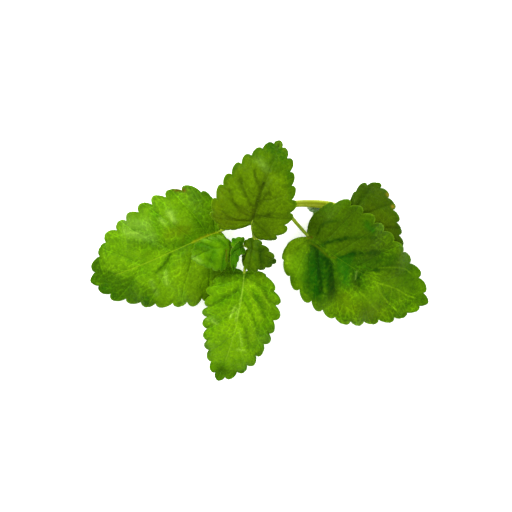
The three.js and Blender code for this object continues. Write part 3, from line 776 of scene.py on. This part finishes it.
BUD_LEAVES = [
    tiny_leaf(
        1.5, 3, 5, seed=91, stalk=[(-5.4, 5.5, 24.7)], dark=(34, 82, 0), light=(68, 122, 0),
        midrib=[(-6.2, 5.4, 25.6), (-8.4, 5.6, 28), (-9.0, 1.0, 28), (-9.1, -3.6, 26.4)],
    ),
    tiny_leaf(
        2.3, 1.5, 3, seed=93, stalk=[(-5.7, 6.0, 24.8)], dark=(40, 100, 0), light=(90, 150, 6),
        midrib=[(-6.0, 5.9, 25.2), (-7.2, 6.3, 26.6), (-8.6, 6.9, 27.6), (-9.4, 8.0, 27.4)],
    ),
    tiny_leaf(
        2.3, 1.5, 3, seed=99, stalk=[(-5.5, 5.5, 24.8)], dark=(22, 66, 0), light=(52, 102, 0),
        midrib=[(-5.9, 5.0, 25.4), (-6.8, 4.6, 26.6), (-7.9, 4.1, 27.4), (-9.0, 3.6, 27.2)],
    ),
]
SHOOT_LEAVES = [
    tiny_leaf(
        1.9, 3, 5, **DOWN, seed=95, hairs=700, stalk=[(29.4, 17.6, 3.8), (27.6, 17.8, 4.2)],
        midrib=[(25.4, 18.3, 4.6), (23.4, 18.8, 5.4), (20.6, 19.4, 5.2), (18.0, 19.6, 4.0)],
    ),
    tiny_leaf(
        1.6, 2.4, 4, **DOWN, seed=97, hairs=500, stalk=[(27.4, 17.8, 4.1)],
        midrib=[(25.6, 17.8, 4.4), (24.0, 17.2, 4.8), (22.0, 17.0, 4.0), (20.2, 17.2, 2.8)],
    ),
]

# Marks painted on the blades, one over the other: a tint, then for each mark its width in mm, its
# strength and the points that its line goes through, in mm along and across the blade. Many of them
# are painted shade, painted shadows in folds and painted highlights of sheen.
MARKS = {
    "leaf_left": [
        ("pale", (1.2, 0.7, (14.5, -13), (14, -10)), (0.8, 0.5, (18.5, -12.5), (17.5, -10)),
         (2.2, 0.38, (36, -19.5), (31.5, -16), (25.5, -12.5)),
         (1.8, 0.45, (35, -13.5), (28.5, -10), (24.5, -7.5)), (1, 0.75, (25, 6), (26.5, 10)),
         (0.7, 0.5, (27.5, 5.5), (27, 9)), (0.8, 0.4, (31.5, 7), (32, 12))),
        ("lime", (0.4, 0.6, (40, -4.5), (39, -3)), (0.35, 0.6, (47, -3.5), (45, -1.5))),
        ("shade", (3.5, 0.5, (50.5, 0.5), (42.5, 4.5), (34.5, 10))),
        ("bright", (2.4, 0.65, (27, 5), (27, 8.5), (26.5, 12)),
         (2, 0.4, (16.5, 5.5), (20.5, 9), (25, 13.5))), ("gleam", (0.4, 0.55, (25.5, 6.5), (26.5, 10)),
         (0.4, 0.5, (14.5, -13), (14.5, -10.5)), (0.35, 0.4, (18.5, -12), (18, -10.5)),
         (0.5, 0.3, (33, -13), (29, -11))), ("bright", (1.4, 0.5, (17.5, -9.5), (18, -4))),
        ("rich", (2.6, 0.5, (56, -3.5), (56, 2))), ("shade", (3.2, 0.85, (52, 4), (45, 9), (36, 14)),
         (5, 0.85, (53, -6), (51, 0), (42, 6))), ("rich", (2, 0.4, (52, 4), (48.5, 7.5)),
         (1.2, 0.4, (38, 13.5), (36, 12))), ("shade", (2.5, 0.5, (23.5, -4), (15.5, -1)),
         (4, 0.6, (3.5, -15), (5, -3)), (0.7, 0.9, (20.5, 0.5), (25, 3.5), (28.5, 4.5)),
         (2, 0.6, (4, -18.5), (1.5, -14.5)), (0.8, 0.4, (44.5, -13), (35.5, -10.5), (26, -6)),
         (2, 0.4, (34.5, -8), (26, -6))), ("brown", (0.8, 1, (9.5, -20.5), (6.5, -18.5))),
        ("warm", (2.5, 0.5, (18, -6.5), (12, -5.5)), (6, 0.25, (17, 7.5), (19.5, 19.5))),
        ("gold", (0.35, 0.6, (0, 0.2), (6, -0.2), (11.5, 0))),
    ],
    "leaf_right": [
        ("olive", (7, 0.8, (-1, 3.5), (5.5, 15), (19, 16)), (7, 0.8, (6.5, 5), (29, 13)),
         (6, 0.8, (14, 4), (35, 9))), ("deep", (0.9, 0.8, (6, -0.5), (7, 2), (9, 4.5), (12, 7.5)),
         (0.9, 0.5, (12, 7.5), (17, 11), (22, 13.5)), (0.9, 1, (13.5, -0.5), (15.5, 2), (17.5, 4.5)),
         (1, 0.6, (17.5, 4.5), (22.5, 7.5), (28, 10)), (1.4, 0.6, (24.5, 0), (26, 2), (29.5, 4)),
         (1.5, 0.4, (29.5, 4), (33.5, 6.5), (38, 8)), (0.6, 0.5, (2.5, 3), (2, 6), (3, 8.5), (5.5, 11))),
        ("rich", (2.2, 0.6, (2.5, -2.5), (6, -7.5), (11.5, -15.5)), (3.5, 0.9, (5, -4.5), (14.5, -14.5)),
         (3.5, 0.9, (9.5, -4.5), (18.5, -11.5))), ("grass", (2.6, 0.9, (16.5, -0.5), (21.5, -6.5))),
        ("rich", (3, 0.6, (26, -3), (28, -5))),
        ("deep", (1, 1, (4.5, -1.5), (7, -3.5), (10.5, -7.5), (15, -13.5)),
         (0.5, 0.5, (2.5, -2.5), (6, -7.5), (11, -14.5)),
         (1.7, 1, (9.5, -2.5), (12.5, -4), (16, -8), (18.5, -11)), (1.6, 1, (23, -2), (26, -5))),
        ("pale", (0.35, 0.45, (22.5, -0.5), (23.5, -3))),
        ("lime", (3, 1, (-4, -8.5), (-4, -5), (-2.5, -2.5)), (3, 0.8, (0.5, -12.5), (-1.5, -8), (-0.5, -4))),
        ("bright", (2.5, 0.8, (4, -12), (2, -6))), ("warm", (6, 0.4, (24.5, -11.5), (37.5, -10.5))),
        ("bright", (2.5, 0.5, (27, -8), (33, -6))),
        ("lime", (0.6, 0.5, (24, -19.5), (31, -18.5), (38.5, -15.5))),
        ("rich", (1.6, 0.5, (15.5, 16.5), (20, 15.5))),
        ("warm", (0.4, 0.5, (2, -1.5), (6.5, -1), (10.5, -1.5), (13, -0.5))),
        ("lime", (0.25, 0.55, (32, -0.5), (34.5, -3), (39.5, -5), (46, -7)),
         (0.28, 0.6, (32, -0.5), (35, 0), (40.5, 0.5), (46.5, 0), (51, 0)),
         (0.3, 0.45, (28, -6.5), (34, -8.5), (38, -9.5)),
         (0.25, 0.4, (29.5, 4.5), (34.5, 7), (41.5, 8.5), (45, 8)), (0.25, 0.4, (38.5, 0.5), (40, -2.5)),
         (0.25, 0.4, (42.5, 0), (44.5, -3.5))), ("rich", (3, 0.45, (18.5, 1), (26, 5), (33, 10))),
        ("grass", (1, 0.5, (17, 15.5), (20, 15.5))), ("shade", (1.6, 0.5, (52, -0.5), (55, 0))),
        ("brown", (0.4, 0.5, (0.5, -0.5), (1.5, 0.5))),
    ],
    "leaf_upper": [
        ("dusk", (0.75, 0.65, (2.5, 0.3), (8, 0.5), (12, 0.5), (16.5, 0.5)),
         (1, 0.2, (16.5, 0.5), (22.5, 0.5)), (0.8, 0.5, (4, 0.5), (7, 1.5), (10, 4.5), (12, 6.5), (15, 8.5)),
         (0.8, 0.5, (2.5, 0.5), (3.5, 1.5), (4.5, 4.5), (6, 7), (8, 9.5), (10, 11)),
         (0.7, 0.45, (2, 1.5), (1, 5), (1.5, 8.5), (3, 11.5)), (0.8, 0.6, (15, 1.5), (17.5, 4), (19.5, 5)),
         (0.7, 0.6, (4, 0), (5, -3), (6.5, -5)), (1.6, 0.4, (9, 0.5), (12, -1), (15, -3))),
        ("pale", (1.4, 0.5, (23.5, 4.5), (22, 1.5))), ("rich", (4, 0.65, (33, 3), (28, -3)),
         (3, 0.35, (26, 8), (30, 4))), ("shade", (3, 0.5, (24.5, 0.5), (22, -8))),
        ("rich", (1.2, 0.4, (12, 14.5), (21.5, 11)), (1.4, 0.4, (23, -7), (14.5, -11))),
        ("dusk", (5, 0.3, (15, 0), (0, -7))), ("warm", (3, 0.5, (7, 15.5), (-4.5, 12.5)),
         (3, 0.35, (-2.5, 10.5), (4.5, 3))),
    ],
    "leaf_lower": [
        ("gleam", (0.5, 0.7, (13.5, -2), (18, -2.8)), (0.3, 0.5, (14, -1), (19, -0.8)),
         (0.2, 0.6, (1.5, 0), (10.5, -0.3), (19, -0.3)), (0.5, 0.35, (22.5, -11.5), (22.5, -7))),
        ("pale", (1, 0.4, (21, -9), (22.5, -7))), ("gleam", (0.4, 0.4, (22.5, 1.5), (29, 4)),
         (0.5, 0.5, (31.5, 2.5), (31, 5.5))), ("shade", (2.2, 0.6, (44.5, -0.5), (49.5, 0)),
         (1.3, 0.4, (23.5, -12.5), (35.5, -9), (39.5, -6)), (2, 0.35, (9, 8), (13.5, 11.5)),
         (0.75, 0.55, (3, 0), (6, 2.5), (8.5, 5), (11.5, 7.5), (15.5, 9)),
         (0.7, 0.5, (10.5, 0.5), (12, 2), (15, 4.5), (18.5, 7), (23, 8.5)),
         (0.7, 0.45, (17.5, 0.5), (20.5, 3), (25, 5), (29.5, 6.5)),
         (0.8, 0.6, (1.5, 0.5), (3.5, 4), (5.5, 7), (9, 9.5))),
        ("lime", (1.2, 0.6, (5, 1.2), (8.5, 3), (12, 5.5), (16, 7.5)),
         (0.9, 0.45, (3, 1.5), (5, 4.5), (8, 8), (12, 10.5)),
         (1.2, 0.6, (12.5, 0.8), (16, 3), (20, 5.5), (25, 7))),
        ("shade", (2.4, 0.8, (2, -10), (1, -6), (0, -2)), (1.2, 0.5, (7, -2.5), (10.5, -7)),
         (3, 0.7, (48, -1), (45, 1), (44, 4)), (1.6, 0.6, (43.5, 4.5), (42.5, 7)),
         (1.6, 0.6, (32.5, 10.5), (31, 12.5)), (1.4, 0.6, (24, 13), (21, 14))),
    ],
    "leaf_back": [
        ("yellow", (0.7, 1, (8, 12.5), (8, 12.6)), (0.6, 1, (12, 10.5), (12, 10.6))),
        ("warm", (3, 0.3, (6.5, 4.5), (13.5, 3.5))), ("shade", (4, 0.2, (2, 6), (10, 6))),
    ],
    "young_leaf_left": [
        ("pale", (1, 0.7, (16, 0), (13.5, 2))), ("deep", (1.6, 0.5, (13, -2.5), (9.5, -1))),
        ("brown", (0.5, 0.35, (2, 1), (2, 4.5))), ("deep", (1, 0.35, (10.5, 2), (8, 4.5))),
        ("pale", (0.8, 0.3, (9, -4.5), (3, -4))),
    ],
    "young_leaf_right": [
        ("deep", (1, 0.5, (3.5, 2.5), (7.5, -2.5)), (1.5, 0.5, (10, -1.5), (12.5, 0))),
        ("shade", (0.8, 0.5, (3.5, -1.5), (7, -4.5))),
    ],
}


# ---- materials
BUMP_STRENGTH, BUMP_HEIGHT = 0.35, 0.0001
LET_THROUGH = 0.2  # share of the light that goes through a blade
UNDERSIDE, UNDERSIDE_RIB = rgba(110, 140, 62), rgba(142, 164, 90)
GRAIN_SCALE, SPECK_SCALE = 1.3, 1.1  # for each mm of the blade
GRAIN_EDGE, GRAIN_TONES = 0.3, (0.88, 1.06)  # border of a grain's cell, and how light it and the middle are
SPECKS = (0.3, 0.7)  # between which a noise counts
VEIN_EDGE = (0.5, 1.3)  # half widths between which a vein fades out
FIBRE_SCALE, PATCH_SCALE, HAIR_SCALE = 900.0, 160.0, 300.0  # for each metre


class Nodes:
    """Short names for wiring one material's nodes."""

    def __init__(self, name):
        self.material = bpy.data.materials.new(name)
        self.material.use_nodes = True
        self.tree = self.material.node_tree
        self.shader = self.tree.nodes["Principled BSDF"]
        self.output = self.tree.nodes["Material Output"]

    def add(self, kind, inputs=None, **settings):
        node = self.tree.nodes.new(kind)
        for key, value in settings.items():
            setattr(node, key, value)
        for key, value in (inputs or {}).items():
            self.put(value, node.inputs[key])
        return node

    def put(self, value, socket):
        if isinstance(value, bpy.types.NodeSocket):
            self.tree.links.new(value, socket)
        else:
            socket.default_value = value

    def read(self, attribute, output="Fac"):
        return self.add("ShaderNodeAttribute", attribute_name=attribute).outputs[output]

    def math(self, operation, a, b):
        return self.add("ShaderNodeMath", {0: a, 1: b}, operation=operation).outputs[0]

    def scaled(self, colour, factor):
        inputs = {0: colour, "Scale": factor}
        return self.add("ShaderNodeVectorMath", inputs, operation="SCALE").outputs[0]

    def blend(self, share, a, b):
        return self.add("ShaderNodeMix", {0: share, 6: a, 7: b}, data_type="RGBA").outputs[2]

    def stretch(self, value, low, high, to_low=0.0, to_high=1.0):
        ends = {"From Min": low, "From Max": high, "To Min": to_low, "To Max": to_high}
        return self.add("ShaderNodeMapRange", {"Value": value, **ends}).outputs[0]

    def noise(self, place, scale, **inputs):
        inputs = {"Vector": place, "Scale": scale, **inputs}
        return self.add("ShaderNodeTexNoise", inputs).outputs["Fac"]

    def bump(self, height):
        inputs = {"Height": height, "Strength": BUMP_STRENGTH, "Distance": BUMP_HEIGHT}
        return self.add("ShaderNodeBump", inputs).outputs[0]

    def dress(self, colour, roughness, specular):
        self.put(colour, self.shader.inputs["Base Color"])
        self.put(roughness, self.shader.inputs["Roughness"])
        self.put(specular, self.shader.inputs["Specular IOR Level"])


# How a kind of leaf shows its veins: the midrib's colour and strength, how much lighter than the blade
# its side veins and its net are, and how far its grain goes up and down. The shaded look paints its veins
# darker, as painted shade in their furrows.
VEIN_LOOKS = {
    "light_veins": ((124, 156, 16), 0.65, 0.3, 0.4, 0.26),
    "pale_midrib": ((132, 172, 36), 0.55, 0.25, 0.35, 0.27),
    "net_veins": ((84, 116, 4), 0.35, 0.3, 0.55, 0.28),
    "young_veins": ((70, 120, 4), 0.3, 0.1, 0.15, 0.1),
    # painted shade: midrib and side veins darker, as in the shadow of their furrows
    "shaded_veins": ((40, 62, 0), 0.4, -0.08, 0.2, 0.18),
}
made = {}


def leaf_material(look):
    """The blade's paint, with its painted light and shade, and fine veins, grain and gloss, and some light
    let through.
    """
    if look in made:
        return made[look]
    n = Nodes("leaf_" + look)
    midrib, strength, side_gain, net_gain, grit = VEIN_LOOKS[look]
    flat, colour = n.read("flat", "Vector"), n.read("paint", "Vector")
    inputs = {"Vector": flat, "Scale": GRAIN_SCALE}
    grain = n.add("ShaderNodeTexVoronoi", inputs, feature="DISTANCE_TO_EDGE").outputs["Distance"]
    speck = n.noise(flat, SPECK_SCALE, Detail=5.0, Roughness=0.7)
    mottle = n.stretch(speck, *SPECKS, 1 - grit, 1 + grit)
    colour = n.scaled(colour, n.math("MULTIPLY", n.stretch(grain, 0.0, GRAIN_EDGE, *GRAIN_TONES), mottle))
    distances = n.add("ShaderNodeSeparateXYZ", {0: n.read("veins", "Vector")}).outputs
    lines = [n.stretch(distances[k], *VEIN_EDGE, 1.0, 0.0) for k in range(3)]
    gain = n.math("ADD", n.math("MULTIPLY", lines[1], side_gain), n.math("MULTIPLY", lines[2], net_gain))
    colour = n.scaled(colour, n.math("ADD", gain, 1.0))
    colour = n.blend(n.math("MULTIPLY", lines[0], strength), colour, rgba(*midrib))
    ribs = n.math("MAXIMUM", lines[0], n.math("MAXIMUM", lines[1], n.math("MULTIPLY", lines[2], 0.6)))
    below = n.blend(0.5, colour, UNDERSIDE)
    below = n.blend(n.math("MULTIPLY", ribs, 0.6), below, UNDERSIDE_RIB)
    colour = n.blend(n.read("under"), colour, below)

    bump = n.bump(n.math("ADD", n.stretch(grain, 0.0, 0.25), n.math("MULTIPLY", speck, 0.6)))
    n.put(bump, n.shader.inputs["Normal"])
    n.dress(colour, roughness=n.stretch(speck, *SPECKS, 0.5, 0.38), specular=0.02)
    thin = n.add("ShaderNodeBsdfTranslucent", {"Color": colour, "Normal": bump}).outputs[0]
    both = n.add("ShaderNodeMixShader", {0: LET_THROUGH, 1: n.shader.outputs[0], 2: thin})
    n.put(both.outputs[0], n.output.inputs["Surface"])
    made[look] = n.material
    return n.material


def stem_material(name, base, dark, pale):
    """Ridged green stem: fine fibres along it and a little mottling."""
    n = Nodes(name)
    place = n.add("ShaderNodeTexCoord").outputs["Object"]
    fibres = n.noise(place, FIBRE_SCALE, Detail=3.0)
    patches = n.noise(place, PATCH_SCALE, Detail=4.0)
    colour = n.blend(n.stretch(patches, 0.35, 0.65), dark, base)
    colour = n.blend(n.math("MULTIPLY", n.stretch(fibres, 0.45, 0.75), 0.6), colour, pale)
    n.put(n.bump(fibres), n.shader.inputs["Normal"])
    n.dress(colour, roughness=n.stretch(patches, *SPECKS, 0.38, 0.55), specular=0.15)
    return n.material


def hair_material(name, dark, pale):
    n = Nodes(name)
    patches = n.noise(n.add("ShaderNodeTexCoord").outputs["Object"], HAIR_SCALE)
    n.dress(n.blend(patches, dark, pale), roughness=0.5, specular=0.2)
    return n.material


MATERIALS = {
    "stem": stem_material("stem", rgba(164, 180, 14), rgba(140, 160, 6), rgba(190, 198, 62)),
    "stalk": stem_material("stalk", rgba(132, 156, 10), rgba(96, 126, 4), rgba(170, 184, 60)),
    "hair": hair_material("hair", rgba(118, 154, 50), rgba(160, 190, 96)),
    "down": hair_material("down", rgba(214, 236, 196), rgba(250, 252, 240)),
}


# ---- stem
STEM_POINTS = [
    (50.0, -8.0, 1.4), (45.0, 0.5, 1.4), (37.5, 11.0, 2.4), (30.0, 18.9, 4.6), (22.0, 20.9, 7.0),
    (8.6, 20.0, 10.0), (2.6, 15.2, 14.0), (-1.4, 8.2, 19.5), (-4.9, 5.6, 24.0),
]
STEM_HALF_SIDES = [1.5, 1.5, 1.5, 1.5, 1.4, 1.15, 0.95, 0.85, 0.6]
STEM_NODES = [STEM_POINTS[3], STEM_POINTS[5], STEM_POINTS[7]]
STEM_SIDES, STEM_STEPS = 48, 200
STEM_SQUARENESS = 5  # 2 gives a circle, and more a sharper square
STEM_GROOVE, GROOVE_SHARPNESS = 0.15, 6
NODE_SWELLING, NODE_REACH = 0.3, 1.6  # mm that a pair of leaves swells it by, and how far along
STEM_HAIRS, STEM_HAIR_SIZE, STEM_SEED = (1, 199, 2200), (0.45, 0.02), 5


def build_stem():
    """Four rounded corners with a groove down each side, swollen where the leaves stand."""
    angles = np.linspace(0, 2 * np.pi, STEM_SIDES, endpoint=False)
    power = STEM_SQUARENESS
    square = 1 / (np.abs(np.cos(angles)) ** power + np.abs(np.sin(angles)) ** power) ** (1 / power)
    grooves = 1 - STEM_GROOVE * np.abs(np.cos(2 * angles)) ** GROOVE_SHARPNESS
    last = len(STEM_HALF_SIDES) - 1

    def section(share, centre):
        half = np.interp(share * last, range(last + 1), STEM_HALF_SIDES)
        for node in STEM_NODES:
            half += NODE_SWELLING * bell(np.linalg.norm(np.array(node) - centre), NODE_REACH)
        radius = half * square * grooves
        return np.stack([radius * np.cos(angles), radius * np.sin(angles)], axis=1)

    rings, faces = tube(through(STEM_POINTS), section, STEM_STEPS)
    make_piece("stem_body", rings.reshape(-1, 3), faces, MATERIALS["stem"], None, "stem")
    roots, out = roots_on(rings, *STEM_HAIRS, STEM_SEED)
    build_hairs("stem_hairs", roots, out, *STEM_HAIR_SIZE, "stem", STEM_SEED + 1)


make_camera()
make_studio()
for node, spec in LEAVES.items():
    build_leaf(spec, node, node)
for node, specs in (("bud", BUD_LEAVES), ("side_shoot", SHOOT_LEAVES)):
    for k, spec in enumerate(specs):
        build_leaf(spec, f"{node}_{k + 1}", None if k else node)
build_stem()
